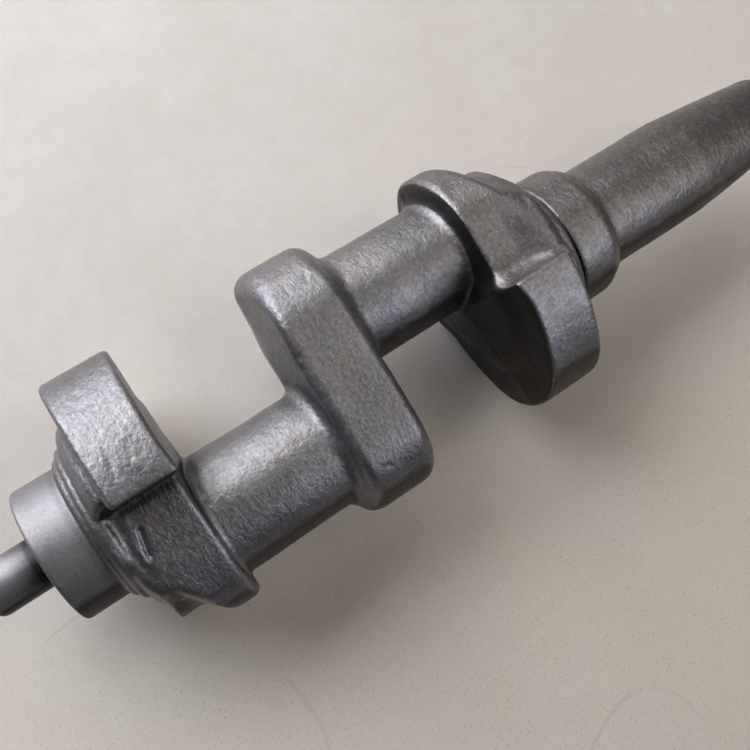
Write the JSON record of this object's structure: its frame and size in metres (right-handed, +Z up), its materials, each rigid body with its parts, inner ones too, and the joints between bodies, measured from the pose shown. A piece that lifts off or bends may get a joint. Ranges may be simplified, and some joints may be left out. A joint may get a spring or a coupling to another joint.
{
  "type": "crankshaft blank",
  "caption": "Raw forged crankshaft with opposed crankpins, end counterweights, a small front spigot and a long tapered tail.",
  "frame": {"origin": "on the main axis, in the middle of the plain wall of the rear main journal", "axes": "+X along the main axis from the spigot to the tapered tail, +Y towards crankpin 2, +Z up with the throw plane level, as it lies in the picture"},
  "size_m": [0.3272, 0.091, 0.0768],
  "materials": {
    "forged_steel": "shot-blasted forging skin, semi-gloss grey with fine grain",
    "turned_steel": "rough turned, smooth satin grey"
  },
  "bodies": {
    "root": {"front_spigot_nose": "turned_steel", "front_spigot": "turned_steel", "front_main_journal": "turned_steel", "front_step_ring_small": "forged_steel", "front_step_ring_large": "forged_steel", "front_web_boss": "forged_steel", "front_web": "forged_steel", "front_counterweight": "forged_steel", "pin_1_front_fillet": "forged_steel", "crankpin_1": "forged_steel", "pin_1_rear_fillet": "forged_steel", "centre_web": "forged_steel", "pin_2_front_fillet": "forged_steel", "crankpin_2": "forged_steel", "pin_2_rear_fillet": "forged_steel", "rear_web": "forged_steel", "rear_counterweight": "forged_steel", "rear_web_boss": "forged_steel", "rear_step_ring": "forged_steel", "rear_relief_groove": "forged_steel", "rear_main_journal": "forged_steel", "rear_journal_shoulder": "forged_steel", "tail_shaft": "forged_steel", "tail_taper": "forged_steel", "tail_nose": "forged_steel"}
  },
  "joints": []
}
